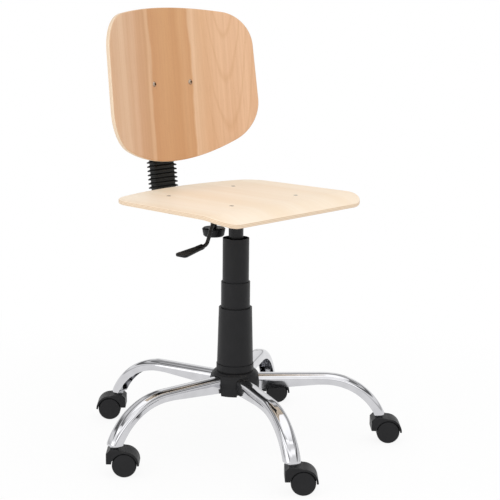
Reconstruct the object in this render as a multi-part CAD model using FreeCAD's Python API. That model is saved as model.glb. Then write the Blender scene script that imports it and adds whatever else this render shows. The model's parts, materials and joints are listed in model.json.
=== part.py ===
import FreeCAD, Part
import math
import os

# Work chair: a plywood seat and backrest on a gas column with a five-legged castor base.
# Millimetres. The origin is on the floor under the column, +Z is up and the sitter faces -Y.

# Seat board
SEAT_TOP = 542.0
SEAT_THICKNESS = 9.0
SEAT_FRONT = 177.0
SEAT_REAR = 187.0
SEAT_FRONT_HALF_WIDTH = 228.0
SEAT_REAR_HALF_WIDTH = 215.0
SEAT_REAR_ARCH_RADIUS = 630.0
SEAT_FRONT_CORNER = 48.0
SEAT_REAR_CORNER = 60.0
SEAT_ROLL_START = 116.0
SEAT_ROLL_RADIUS = 126.0
SEAT_ROLL_OVERRUN = 3.0
WOOD_EDGE_ROUND = 2.5

# Seat bolts
SEAT_BOLT_SPACING_X = 198.8
SEAT_BOLT_SPACING_Y = 180.0
SEAT_BOLT_CENTRE_Y = 11.0
SEAT_BOLT_HEAD_RADIUS = 5.0
SEAT_BOLT_HEAD_DEPTH = 2.5
BOLT_RADIUS = 3.0
BOLT_CLEARANCE = 0.15
NUT_RADIUS = 5.5
NUT_THICKNESS = 5.0

# Mechanism under the seat
PLATE_THICKNESS = 3.0
PLATE_MARGIN = 13.0
PLATE_CORNER = 12.0
PLATE_WAIST = 22.0
PLATE_WAIST_START = 52.0
HOUSING_HALF_WIDTH = 30.0
HOUSING_FRONT = 45.0
HOUSING_REAR = 44.0
HOUSING_DEPTH = 40.0
HOUSING_WALL = 2.5
HOUSING_CORNER = 8.0
SOCKET_DROP = 22.0
SOCKET_LENGTH = 56.0
SOCKET_RADIUS = 15.7
CHANNEL_DEPTH = 40.0
CHANNEL_LENGTH = 88.0
CHANNEL_WALL = 2.0
GUIDE_WALL = 5.0
GUIDE_INSET = 2.0

# Depth knob below the channel
DEPTH_KNOB_Y = 65.0
DEPTH_KNOB_RADIUS = 25.0
DEPTH_KNOB_HEIGHT = 19.0
DEPTH_KNOB_TAPER = 2.5
KNOB_NECK_RADIUS = 7.0
KNOB_NECK_LENGTH = 22.7
KNOB_EDGE = 2.7
STUD_RADIUS = 4.0
STUD_CLEARANCE = 0.05
SEAT_GAP = 0.3
FLUTE_COUNT = 18
FLUTE_RADIUS = 1.8
FLUTE_CUT = 1.0

# Height lever
LEVER_PIVOT_X = -20.0
LEVER_PIVOT_DROP = 11.0
LEVER_WIRE_RADIUS = 4.0
LEVER_RUN = 39.4
LEVER_FALL = 69.4
LEVER_FALL_REACH = 30.1
LEVER_TONGUE = 22.5
LEVER_BEND = 14.0
PADDLE_LENGTH = 65.0
PADDLE_CORNER = 7.0
PADDLE_SLOPE = 8.8
PADDLE_HALF_WIDTH = 16.5
PADDLE_NECK_HALF_WIDTH = 8.0
PADDLE_THICKNESS = 6.0
PADDLE_EDGE_ROUND = 1.8
TRUNNION_RADIUS = 2.5
EAR_GAP = 10.0
EAR_THICKNESS = 2.5
EAR_HALF_WIDTH = 6.0
PAD_REACH = 27.0
PAD_THICKNESS = 4.0
RELEASE_PIN_RADIUS = 3.5
RELEASE_PIN_GAP = 0.5
RELEASE_PIN_ROUND = 2.1
LEVER_SLOT_GAP = 1.2
LEVER_SLOT_DROP = 4.0

# Gas column
STROKE = 120.0
STROKE_RESERVE = 5.0
CYLINDER_RADIUS = 14.0
CYLINDER_WALL = 1.5
CYLINDER_END = 6.0
CYLINDER_TAPER = 0.8
ROD_RADIUS = 5.0
PISTON_LENGTH = 8.0
PISTON_STOP_GAP = 0.2
RUNNING_CLEARANCE = 0.05
COLUMN_RADIUS = 25.0
COLUMN_BORE_RADIUS = 22.2
COLUMN_BOTTOM = 112.0
COLUMN_TOP = 300.0
COLUMN_FLOOR = 3.0
COLUMN_TAPER = 1.4
BUSH_LENGTH = 76.0
BUSH_LIP = 3.0
BEARING_RADIUS = 12.0
BEARING_HEIGHT = 6.0
SHOULDER_RADIUS = 8.0
SHOULDER_HEIGHT = 2.0
BUMP_RADIUS = 10.5
BUMP_HEIGHT = 8.0
CLIP_RADIUS = 9.0
CLIP_HEIGHT = 2.0
ROD_TAIL = 4.0

# Telescopic column cover
LOWER_COVER_TOP = 303.0
LOWER_COVER_BASE_RADIUS = 38.8
LOWER_COVER_TOP_RADIUS = 35.5
MIDDLE_COVER_TOP = 359.0
MIDDLE_COVER_RADIUS = 31.0
COVER_STOP_GAP = 4.0
UPPER_COVER_RADIUS = 28.2
UPPER_COVER_OVERLAP = 24.0
UPPER_COVER_RISE = 1.0
COVER_WALL = 1.7
COVER_LIP = 2.0
COVER_RING_DROP = 7.0
COVER_GROOVE_DEPTH = 1.0
COVER_GROOVE_HEIGHT = 1.4

# Hub and hub cover
HUB_RADIUS = 31.0
HUB_BOTTOM = 118.0
HUB_COVER_SKIRT_Z = 117.0
HUB_COVER_SKIRT_RADIUS = 51.5
HUB_COVER_RADIUS = 54.5
HUB_COVER_WIDEST_Z = 138.0
HUB_COVER_NECK_Z = 165.0
HUB_COVER_NECK_RADIUS = 40.5
HUB_COVER_TOP_RADIUS = 40.0
HUB_COVER_TOP = 180.0
HUB_COVER_WALL = 2.5
HUB_COVER_LEG_GAP = 0.5

# Legs: pressed steel shells, open underneath, each with a tapering skirt near the hub
LEG_ANGLES = [-116.0, -44.0, 28.0, 100.0, 172.0]
LEG_WIDTH = 34.0
LEG_WALL = 1.8
LEG_ROUND = 13.0
LEG_TOP_AT_HUB = 157.0
LEG_TOP_AT_BEND = 155.0
LEG_TUBE_HEIGHT = 22.0
LEG_BEND_RADIUS = 150.0
LEG_TIP_STRAIGHT = 4.0
LEG_END_OUTER = 327.0
LEG_END_Z = 62.0
LEG_SKIRT_BOTTOM = 119.5
LEG_SKIRT_INSET = 3.0

# Castors
STEM_CIRCLE = 314.0
CASTOR_HEADINGS = [-47.0, -47.0, -47.0, 133.0, -47.0]
WHEEL_RADIUS = 25.0
WHEEL_WIDTH = 19.0
WHEEL_EDGE_ROUND = 4.0
WHEEL_INNER_ROUND = 1.5
WHEEL_TRAIL = 21.0
AXLE_RADIUS = 3.0
AXLE_SEAT = 4.0
WEB_HALF_WIDTH = 4.0
WEB_BOSS_RADIUS = 9.0
WHEEL_SIDE_GAP = 0.3
WHEEL_TREAD_GAP = 1.2
HOOD_THICKNESS = 3.8
HOOD_HALF_WIDTH = 24.5
HOOD_FRONT = 15.5
HOOD_LOW = 29.0
HOOD_TOP = 58.0
HOOD_SHOULDER = 8.0
HOOD_ROUND = 2.5
STEM_RADIUS = 5.5
STEM_COLLAR_RADIUS = 9.0
SOCKET_SLEEVE_RADIUS = 8.5
SOCKET_SLEEVE_HEIGHT = 16.0
SOCKET_PLATE = 3.0
STEM_END_GAP = 1.0

# Backrest
BACK_TILT = 6.4
BACK_BOLT_Y = 193.0
BACK_BOLT_Z = 767.0
BACK_CURVE_RADIUS = 485.0
BACK_THICKNESS = 10.0
BACK_TOP_HALF_WIDTH = 214.5
BACK_TOP_CORNER_V = 136.0
BACK_TOP_MID_V = 162.0
BACK_BOTTOM_HALF_WIDTH = 222.0
BACK_BOTTOM_CORNER_V = -105.0
BACK_BOTTOM_MID_V = -168.0
BACK_TOP_CORNER = 80.0
BACK_BOTTOM_CORNER = 92.0
BACK_BOLT_SPACING = 108.8
BACK_BOLT_HEAD_RADIUS = 5.8
BACK_BOLT_HEAD_HEIGHT = 3.2

# Back bar and its bellows
BAR_WIDTH = 50.0
BAR_THICKNESS = 8.0
BAR_DROP = 30.0
BAR_FRONT = 34.0
BAR_BEND_RADIUS = 30.0
BAR_STAND_OFF = 51.2
BAR_TOP_V = 36.0
BAR_CLEARANCE = 0.2
BAR_END_ROUND = 10.0
BELLOWS_HALF_WIDTH = 34.0
BELLOWS_HALF_DEPTH = 15.0
BELLOWS_FOLD = 5.0
BELLOWS_FOLDS = 16
BELLOWS_COLLAR = 7.0
BELLOWS_BOTTOM_V = -234.0
BELLOWS_CORNER = 9.0

# Backrest bracket and its clamp knob
BRACKET_BOTTOM_V = -56.0
BRACKET_TOP_V = 44.0
BRACKET_WALL = 6.0
BRACKET_EDGE_SHARE = 0.8
BRACKET_PLATE_THICKNESS = 6.0
BRACKET_PLATE_HALF_WIDTH = 74.0
BRACKET_PLATE_HALF_HEIGHT = 32.0
BRACKET_WEB_HALF_WIDTH = 26.0
BRACKET_CORNER = 12.0
HEIGHT_KNOB_V = -18.0
HEIGHT_KNOB_RADIUS = 20.0
HEIGHT_KNOB_HEIGHT = 17.0
HEIGHT_KNOB_NECK = 5.0

# Heights worked out from the sizes above
SEAT_UNDER = SEAT_TOP - SEAT_THICKNESS
PLATE_UNDER = SEAT_UNDER - PLATE_THICKNESS
HOUSING_BOTTOM = PLATE_UNDER - HOUSING_DEPTH
SOCKET_TOP = PLATE_UNDER - SOCKET_DROP
SOCKET_BOTTOM = SOCKET_TOP - SOCKET_LENGTH
CHANNEL_BOTTOM = PLATE_UNDER - CHANNEL_DEPTH
BAR_Z = PLATE_UNDER - BAR_DROP
BAR_UNDER = BAR_Z - BAR_THICKNESS / 2
LEVER_PIVOT_Z = PLATE_UNDER - LEVER_PIVOT_DROP
PAD_UNDER = LEVER_PIVOT_Z - PAD_THICKNESS
RELEASE_PIN_TOP = PAD_UNDER - RELEASE_PIN_GAP
UPPER_COVER_TOP = SOCKET_BOTTOM + UPPER_COVER_RISE
SHOULDER_Z = COLUMN_BOTTOM + COLUMN_FLOOR + RUNNING_CLEARANCE + BEARING_HEIGHT
BUMP_STOP_TOP = SHOULDER_Z + SHOULDER_HEIGHT + BUMP_HEIGHT
CYLINDER_BOTTOM = BUMP_STOP_TOP + STROKE + STROKE_RESERVE
PISTON_TOP = CYLINDER_BOTTOM + CYLINDER_END + PISTON_LENGTH + PISTON_STOP_GAP
MIDDLE_COVER_BOTTOM = HUB_COVER_TOP + STROKE / 2 + COVER_STOP_GAP
HUB_TOP = HUB_COVER_TOP - HUB_COVER_WALL
WHEEL_INNER = WEB_HALF_WIDTH + WHEEL_SIDE_GAP
WHEEL_OUTER = WHEEL_INNER + WHEEL_WIDTH
SHELL_OVERCUT = 6.0
CUT = 300.0
X_AXIS = FreeCAD.Vector(1, 0, 0)
Y_AXIS = FreeCAD.Vector(0, 1, 0)
Z_AXIS = FreeCAD.Vector(0, 0, 1)
ORIGIN = FreeCAD.Vector(0, 0, 0)


def vec(x, y, z):
    return FreeCAD.Vector(x, y, z)


def line(start, end):
    return Part.LineSegment(start, end).toShape()


def arc(start, middle, end):
    return Part.Arc(start, middle, end).toShape()


def face_of(edges):
    return Part.Face(Part.Wire(edges))


def polygon_face(points):
    return Part.Face(Part.makePolygon(points + points[:1]))


def box(x0, x1, y0, y1, z0, z1):
    return Part.makeBox(x1 - x0, y1 - y0, z1 - z0, vec(x0, y0, z0))


def post(radius, z0, z1, x=0.0, y=0.0):
    return Part.makeCylinder(radius, z1 - z0, vec(x, y, z0))


def ring(inner, outer, z0, z1):
    return post(outer, z0, z1).cut(post(inner, z0, z1))


def turned(profile):
    """A solid of revolution about Z from (radius, height) pairs."""
    face = polygon_face([vec(radius, 0, height) for radius, height in profile])
    return face.revolve(ORIGIN, Z_AXIS, 360)


def cross_post(radius, y0, y1, x, z):
    return Part.makeCylinder(radius, y1 - y0, vec(x, y0, z), Y_AXIS)


def rounded(shape, radius, chosen):
    """Fillet the edges for which chosen(edge) is true."""
    return shape.makeFillet(radius, [edge for edge in shape.Edges if chosen(edge)])


def is_upright(edge):
    """True for a straight edge parallel to Z."""
    if not isinstance(edge.Curve, Part.Line):
        return False
    return abs(edge.Curve.Direction.z) > 0.999


def is_along_y(edge):
    """True for a straight edge parallel to Y."""
    if not isinstance(edge.Curve, Part.Line):
        return False
    return abs(edge.Curve.Direction.y) > 0.999


def turn_about_z(shape, angle):
    turned_copy = shape.copy()
    turned_copy.rotate(ORIGIN, Z_AXIS, angle)
    return turned_copy


def around_column(angle, radius):
    """A point on the floor at an angle and a distance from the column."""
    return vec(radius * math.cos(math.radians(angle)), radius * math.sin(math.radians(angle)), 0)


def one_solid(shape):
    """The shape without seams between faces that continue each other."""
    return shape.removeSplitter()


# Wooden boards

def seat_bolt_places():
    places = []
    for side in (-1, 1):
        for end in (-1, 1):
            x = side * SEAT_BOLT_SPACING_X / 2
            places.append((x, SEAT_BOLT_CENTRE_Y + end * SEAT_BOLT_SPACING_Y / 2))
    return places


def seat_outline():
    """Plan of the seat: straight sides, straight front, arched rear edge, four round corners."""
    arch_drop = SEAT_REAR_ARCH_RADIUS - math.sqrt(SEAT_REAR_ARCH_RADIUS ** 2 - SEAT_REAR_HALF_WIDTH ** 2)
    front_left = vec(-SEAT_FRONT_HALF_WIDTH, -SEAT_FRONT, 0)
    front_right = vec(SEAT_FRONT_HALF_WIDTH, -SEAT_FRONT, 0)
    rear_right = vec(SEAT_REAR_HALF_WIDTH, SEAT_REAR - arch_drop, 0)
    rear_left = vec(-SEAT_REAR_HALF_WIDTH, SEAT_REAR - arch_drop, 0)
    edges = [line(front_left, front_right), line(front_right, rear_right)]
    edges.append(arc(rear_right, vec(0, SEAT_REAR, 0), rear_left))
    edges.append(line(rear_left, front_left))
    prism = face_of(edges).extrude(vec(0, 0, 2 * SEAT_TOP))
    front = rounded(prism, SEAT_FRONT_CORNER, lambda e: is_upright(e) and e.CenterOfMass.y < 0)
    return rounded(front, SEAT_REAR_CORNER, lambda e: is_upright(e) and e.CenterOfMass.y > 0
                   and abs(abs(e.CenterOfMass.x) - SEAT_REAR_HALF_WIDTH) < 1)


def seat_sheet():
    """The bent sheet: flat, rolled down at the front, of even thickness."""
    outer = SEAT_ROLL_RADIUS
    inner = SEAT_ROLL_RADIUS - SEAT_THICKNESS
    roll = math.asin((SEAT_FRONT - SEAT_ROLL_START) / inner) + math.radians(SEAT_ROLL_OVERRUN)
    centre_z = SEAT_TOP - SEAT_ROLL_RADIUS

    def on_roll(radius, share):
        angle = roll * share
        return vec(0, -SEAT_ROLL_START - radius * math.sin(angle), centre_z + radius * math.cos(angle))

    back_y = SEAT_REAR + SEAT_THICKNESS
    edges = [line(vec(0, back_y, SEAT_TOP), on_roll(outer, 0))]
    edges.append(arc(on_roll(outer, 0), on_roll(outer, 0.5), on_roll(outer, 1)))
    edges.append(line(on_roll(outer, 1), on_roll(inner, 1)))
    edges.append(arc(on_roll(inner, 1), on_roll(inner, 0.5), on_roll(inner, 0)))
    edges.append(line(on_roll(inner, 0), vec(0, back_y, SEAT_UNDER)))
    edges.append(line(vec(0, back_y, SEAT_UNDER), vec(0, back_y, SEAT_TOP)))
    sheet = face_of(edges).extrude(vec(4 * SEAT_FRONT_HALF_WIDTH, 0, 0))
    sheet.translate(vec(-2 * SEAT_FRONT_HALF_WIDTH, 0, 0))
    return sheet


def seat_depth(point):
    """Distance of a point below the seat's upper surface."""
    if point.y > -SEAT_ROLL_START:
        return SEAT_TOP - point.z
    from_centre = math.hypot(point.y + SEAT_ROLL_START, point.z - SEAT_TOP + SEAT_ROLL_RADIUS)
    return SEAT_ROLL_RADIUS - from_centre


def is_between_faces(edge, depth_of, thickness):
    """True for an edge that runs along a face rather than from one large face to the other."""
    first = depth_of(edge.valueAt(edge.FirstParameter))
    last = depth_of(edge.valueAt(edge.LastParameter))
    return abs(first - last) < thickness / 2


def is_seam_of_roll(edge):
    """True for the straight line where the flat of the seat meets its roll."""
    return abs(edge.CenterOfMass.y + SEAT_ROLL_START) < 0.01


def make_seat_board():
    board = seat_sheet().common(seat_outline())
    board = rounded(board, WOOD_EDGE_ROUND, lambda e: is_between_faces(e, seat_depth, SEAT_THICKNESS)
                    and not is_seam_of_roll(e))
    for x, y in seat_bolt_places():
        board = board.cut(post(BOLT_RADIUS + BOLT_CLEARANCE, SEAT_UNDER, SEAT_TOP, x, y))
        recess_radius = SEAT_BOLT_HEAD_RADIUS + BOLT_CLEARANCE
        board = board.cut(post(recess_radius, SEAT_TOP - SEAT_BOLT_HEAD_DEPTH, SEAT_TOP, x, y))
    return board


def make_seat_bolts():
    bolts = []
    for x, y in seat_bolt_places():
        bolt = post(BOLT_RADIUS, PLATE_UNDER - NUT_THICKNESS, SEAT_TOP - SEAT_BOLT_HEAD_DEPTH, x, y)
        head = post(SEAT_BOLT_HEAD_RADIUS, SEAT_TOP - SEAT_BOLT_HEAD_DEPTH, SEAT_TOP, x, y)
        nut = post(NUT_RADIUS, PLATE_UNDER - NUT_THICKNESS, PLATE_UNDER, x, y)
        bolts.append(bolt.fuse([head, nut]))
    return Part.makeCompound(bolts)


# The tilted frame of the backrest: x across, y backwards from the board's front, z up the board

def in_back_frame(shape):
    """Place a shape made in the backrest's own upright frame."""
    placed = shape.copy()
    placed.rotate(ORIGIN, X_AXIS, -BACK_TILT)
    placed.translate(vec(0, BACK_BOLT_Y, BACK_BOLT_Z))
    return placed


def back_point(depth, height):
    """The (y, z) place in the chair of a point in the backrest's frame."""
    tilt = math.radians(BACK_TILT)
    y = BACK_BOLT_Y + depth * math.cos(tilt) + height * math.sin(tilt)
    z = BACK_BOLT_Z - depth * math.sin(tilt) + height * math.cos(tilt)
    return y, z


def curved_sheet(depth, thickness, low, high):
    """A full ring about the board's bending axis, at a depth behind its front face."""
    inner = BACK_CURVE_RADIUS + depth
    sheet = ring(inner, inner + thickness, low, high)
    sheet.translate(vec(0, -BACK_CURVE_RADIUS, 0))
    return sheet


def back_outline():
    """Front view of the backrest: arched top and bottom, straight sides, four round corners."""
    top_left = vec(-BACK_TOP_HALF_WIDTH, 0, BACK_TOP_CORNER_V)
    top_right = vec(BACK_TOP_HALF_WIDTH, 0, BACK_TOP_CORNER_V)
    bottom_left = vec(-BACK_BOTTOM_HALF_WIDTH, 0, BACK_BOTTOM_CORNER_V)
    bottom_right = vec(BACK_BOTTOM_HALF_WIDTH, 0, BACK_BOTTOM_CORNER_V)
    edges = [arc(top_left, vec(0, 0, BACK_TOP_MID_V), top_right), line(top_right, bottom_right)]
    edges.append(arc(bottom_right, vec(0, 0, BACK_BOTTOM_MID_V), bottom_left))
    edges.append(line(bottom_left, top_left))
    depth = BACK_CURVE_RADIUS / 2
    prism = face_of(edges).extrude(vec(0, 2 * depth, 0))
    prism.translate(vec(0, -depth, 0))
    top = rounded(prism, BACK_TOP_CORNER, lambda e: is_along_y(e) and e.CenterOfMass.z > 0)
    return rounded(top, BACK_BOTTOM_CORNER, lambda e: is_along_y(e)
                   and abs(e.CenterOfMass.z - BACK_BOTTOM_CORNER_V) < 1)


def back_depth(point):
    """Distance of a point behind the backrest's front face."""
    return math.hypot(point.x, point.y + BACK_CURVE_RADIUS) - BACK_CURVE_RADIUS


def at_back_bolt(shape, side):
    """Swing a shape made on the board's middle line to one of the two bolts."""
    swing = math.degrees(math.asin(BACK_BOLT_SPACING / 2 / BACK_CURVE_RADIUS))
    swung = shape.copy()
    swung.rotate(vec(0, -BACK_CURVE_RADIUS, 0), Z_AXIS, -side * swing)
    return swung


def back_bolt_hole(side):
    hole = cross_post(BOLT_RADIUS + BOLT_CLEARANCE, -BACK_THICKNESS, BAR_STAND_OFF, 0, 0)
    return at_back_bolt(hole, side)


def make_backrest_board():
    sheet = curved_sheet(0, BACK_THICKNESS, 2 * BACK_BOTTOM_MID_V, 2 * BACK_TOP_MID_V)
    board = sheet.common(back_outline())
    board = rounded(board, WOOD_EDGE_ROUND, lambda e: is_between_faces(e, back_depth, BACK_THICKNESS))
    for side in (-1, 1):
        board = board.cut(back_bolt_hole(side))
    return in_back_frame(board)


def domed_head():
    """A shallow domed bolt head on the board's front face."""
    radius = (BACK_BOLT_HEAD_RADIUS ** 2 + BACK_BOLT_HEAD_HEIGHT ** 2) / (2 * BACK_BOLT_HEAD_HEIGHT)
    ball = Part.makeSphere(radius, vec(0, radius - BACK_BOLT_HEAD_HEIGHT, 0))
    return ball.common(cross_post(BACK_BOLT_HEAD_RADIUS, -2 * BACK_BOLT_HEAD_HEIGHT, 0, 0, 0))


def make_back_bolts():
    seat_of_nut = BACK_THICKNESS + BRACKET_PLATE_THICKNESS
    bolts = []
    for side in (-1, 1):
        shank = cross_post(BOLT_RADIUS, 0, seat_of_nut + NUT_THICKNESS, 0, 0)
        nut = cross_post(NUT_RADIUS, seat_of_nut, seat_of_nut + NUT_THICKNESS, 0, 0)
        bolts.append(in_back_frame(at_back_bolt(domed_head().fuse([shank, nut]), side)))
    return Part.makeCompound(bolts)


# Back bar, bellows, bracket and clamp knob

def make_back_bar():
    """Flat steel, run back under the seat and bent up behind the backrest."""
    tilt = math.radians(BACK_TILT)
    turn = math.pi / 2 - tilt
    corner_v = (BAR_Z - BACK_BOLT_Z + BAR_STAND_OFF * math.sin(tilt)) / math.cos(tilt)
    corner_y = back_point(BAR_STAND_OFF, corner_v)[0]
    bend_y = corner_y - BAR_BEND_RADIUS * math.tan(turn / 2)
    bend_z = BAR_Z + BAR_BEND_RADIUS

    def on_bend(radius, share):
        angle = turn * share
        return vec(0, bend_y + radius * math.sin(angle), bend_z - radius * math.cos(angle))

    outer = BAR_BEND_RADIUS + BAR_THICKNESS / 2
    inner = BAR_BEND_RADIUS - BAR_THICKNESS / 2
    outer_top = vec(0, *back_point(BAR_STAND_OFF + BAR_THICKNESS / 2, BAR_TOP_V))
    inner_top = vec(0, *back_point(BAR_STAND_OFF - BAR_THICKNESS / 2, BAR_TOP_V))
    low_front = vec(0, BAR_FRONT, BAR_UNDER)
    high_front = vec(0, BAR_FRONT, BAR_UNDER + BAR_THICKNESS)
    edges = [line(low_front, on_bend(outer, 0))]
    edges.append(arc(on_bend(outer, 0), on_bend(outer, 0.5), on_bend(outer, 1)))
    edges.extend([line(on_bend(outer, 1), outer_top), line(outer_top, inner_top)])
    edges.append(line(inner_top, on_bend(inner, 1)))
    edges.append(arc(on_bend(inner, 1), on_bend(inner, 0.5), on_bend(inner, 0)))
    edges.extend([line(on_bend(inner, 0), high_front), line(high_front, low_front)])
    bar = face_of(edges).extrude(vec(BAR_WIDTH, 0, 0))
    bar.translate(vec(-BAR_WIDTH / 2, 0, 0))
    return rounded(bar, BAR_END_ROUND, lambda e: is_upright(e) and e.CenterOfMass.y < BAR_FRONT + 1)


def rounded_rectangle(half_x, half_y, corner, height):
    """A closed wire at a height, with four round corners."""
    edges = []
    lean = corner * (1 - math.sqrt(0.5))
    for quarter in range(4):
        along, across = (half_x, half_y) if quarter % 2 == 0 else (half_y, half_x)
        start = vec(along, -across + corner, 0)
        straight_end = vec(along, across - corner, 0)
        middle = vec(along - lean, across - lean, 0)
        end = vec(along - corner, across, 0)
        for edge in (line(start, straight_end), arc(straight_end, middle, end)):
            edge.rotate(ORIGIN, Z_AXIS, 90 * quarter)
            edge.translate(vec(0, 0, height))
            edges.append(edge)
    return Part.Wire(edges)


def make_bellows():
    """A rubber sleeve of even folds round the upright, with a plain collar at each end."""
    top = BRACKET_BOTTOM_V - SEAT_GAP
    first_fold = BELLOWS_BOTTOM_V + BELLOWS_COLLAR
    pitch = (top - BELLOWS_COLLAR - first_fold) / BELLOWS_FOLDS
    heights = [(BELLOWS_BOTTOM_V, BELLOWS_FOLD)]
    for fold in range(BELLOWS_FOLDS):
        heights.append((first_fold + fold * pitch, BELLOWS_FOLD))
        heights.append((first_fold + (fold + 0.5) * pitch, 0.0))
    heights.append((top - BELLOWS_COLLAR, BELLOWS_FOLD))
    heights.append((top, BELLOWS_FOLD))
    wires = []
    for height, inset in heights:
        wires.append(rounded_rectangle(BELLOWS_HALF_WIDTH - inset, BELLOWS_HALF_DEPTH - inset,
                                       BELLOWS_CORNER - inset, height))
    sleeve = Part.makeLoft(wires, True, True)
    sleeve.translate(vec(0, BAR_STAND_OFF, 0))
    return in_back_frame(sleeve.cut(bar_passage(SEAT_GAP, BELLOWS_BOTTOM_V, top)))


def bar_passage(gap, low, high):
    """The space that the upright bar takes, with a gap all round, in the backrest's frame."""
    half_width = BAR_WIDTH / 2 + gap
    half_depth = BAR_THICKNESS / 2 + gap
    return box(-half_width, half_width, BAR_STAND_OFF - half_depth, BAR_STAND_OFF + half_depth, low, high)


def make_back_bracket():
    """A moulded bracket: curved plate behind the board, web, and sleeve round the bar."""
    half_depth = BAR_THICKNESS / 2 + BAR_CLEARANCE + BRACKET_WALL
    half_width = BAR_WIDTH / 2 + BAR_CLEARANCE + BRACKET_WALL
    sleeve_front = BAR_STAND_OFF - half_depth
    sleeve_back = BAR_STAND_OFF + half_depth
    sleeve = box(-half_width, half_width, sleeve_front, sleeve_back, BRACKET_BOTTOM_V, BRACKET_TOP_V)
    sleeve = rounded(sleeve, BRACKET_WALL * BRACKET_EDGE_SHARE, is_upright)
    sheet = curved_sheet(BACK_THICKNESS, BRACKET_PLATE_THICKNESS,
                         -BRACKET_PLATE_HALF_HEIGHT, BRACKET_PLATE_HALF_HEIGHT)
    blank = box(-BRACKET_PLATE_HALF_WIDTH, BRACKET_PLATE_HALF_WIDTH, -BAR_STAND_OFF, BAR_STAND_OFF,
                -BRACKET_PLATE_HALF_HEIGHT, BRACKET_PLATE_HALF_HEIGHT)
    plate = sheet.common(rounded(blank, BRACKET_CORNER, is_along_y))
    web = box(-BRACKET_WEB_HALF_WIDTH, BRACKET_WEB_HALF_WIDTH, BACK_THICKNESS + BRACKET_PLATE_THICKNESS / 2,
              BAR_STAND_OFF, -BRACKET_PLATE_HALF_HEIGHT, BRACKET_PLATE_HALF_HEIGHT)
    bracket = one_solid(sleeve.fuse([plate, web]))
    bracket = bracket.cut(bar_passage(BAR_CLEARANCE, BRACKET_BOTTOM_V, BRACKET_TOP_V))
    for side in (-1, 1):
        bracket = bracket.cut(back_bolt_hole(side))
    return in_back_frame(bracket.cut(cross_post(STUD_RADIUS + STUD_CLEARANCE, BAR_STAND_OFF,
                                                BAR_STAND_OFF + CUT, 0, HEIGHT_KNOB_V)))


def fluted_knob(radius, height, taper):
    """A round grip with finger flutes, standing on the plane z = 0 and wider at its top."""
    low = radius - taper
    grip = turned([(0, 0), (low - KNOB_EDGE, 0), (low, KNOB_EDGE), (radius, height - KNOB_EDGE),
                   (radius - KNOB_EDGE, height), (0, height)])
    for flute in range(FLUTE_COUNT):
        cutter = post(FLUTE_RADIUS, -height, 2 * height, radius + FLUTE_RADIUS - FLUTE_CUT)
        grip = grip.cut(turn_about_z(cutter, 360.0 * flute / FLUTE_COUNT))
    return grip


def make_height_knob():
    """The clamp knob behind the bracket, its stud reaching the bar."""
    bar_back = BAR_STAND_OFF + BAR_THICKNESS / 2
    bracket_back = bar_back + BAR_CLEARANCE + BRACKET_WALL
    grip_start = bracket_back + HEIGHT_KNOB_NECK
    grip = fluted_knob(HEIGHT_KNOB_RADIUS, HEIGHT_KNOB_HEIGHT, 0.0)
    grip.rotate(ORIGIN, X_AXIS, -90)
    grip.translate(vec(0, grip_start, HEIGHT_KNOB_V))
    neck = cross_post(KNOB_NECK_RADIUS, bracket_back + SEAT_GAP, grip_start, 0, HEIGHT_KNOB_V)
    stud = cross_post(STUD_RADIUS, bar_back + BAR_CLEARANCE, grip_start, 0, HEIGHT_KNOB_V)
    return in_back_frame(grip.fuse([neck, stud]))


# Mechanism under the seat

def make_mechanism_plate():
    """Pressed plate with waisted sides and two ears that carry the lever."""
    half_x = SEAT_BOLT_SPACING_X / 2 + PLATE_MARGIN
    half_y = SEAT_BOLT_SPACING_Y / 2 + PLATE_MARGIN
    low_y = SEAT_BOLT_CENTRE_Y - half_y
    high_y = SEAT_BOLT_CENTRE_Y + half_y
    plate = box(-half_x, half_x, low_y, high_y, PLATE_UNDER, SEAT_UNDER)
    plate = rounded(plate, PLATE_CORNER, is_upright)
    for side in (-1, 1):
        middle = side * half_x
        notch = box(middle - PLATE_WAIST, middle + PLATE_WAIST, low_y + PLATE_WAIST_START,
                    high_y - PLATE_WAIST_START, PLATE_UNDER, SEAT_UNDER)
        plate = plate.cut(rounded(notch, PLATE_CORNER, is_upright))
    for x, y in seat_bolt_places():
        plate = plate.cut(post(BOLT_RADIUS + BOLT_CLEARANCE, PLATE_UNDER, SEAT_UNDER, x, y))
    ears = []
    for side in (-1, 1):
        low, high = sorted([side * EAR_GAP / 2, side * (EAR_GAP / 2 + EAR_THICKNESS)])
        ear = box(LEVER_PIVOT_X - EAR_HALF_WIDTH, LEVER_PIVOT_X + EAR_HALF_WIDTH, low, high,
                  LEVER_PIVOT_Z - EAR_HALF_WIDTH, PLATE_UNDER)
        hole = cross_post(TRUNNION_RADIUS + STUD_CLEARANCE, low, high, LEVER_PIVOT_X, LEVER_PIVOT_Z)
        ears.append(ear.cut(hole))
    return one_solid(plate.fuse(ears))


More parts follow.
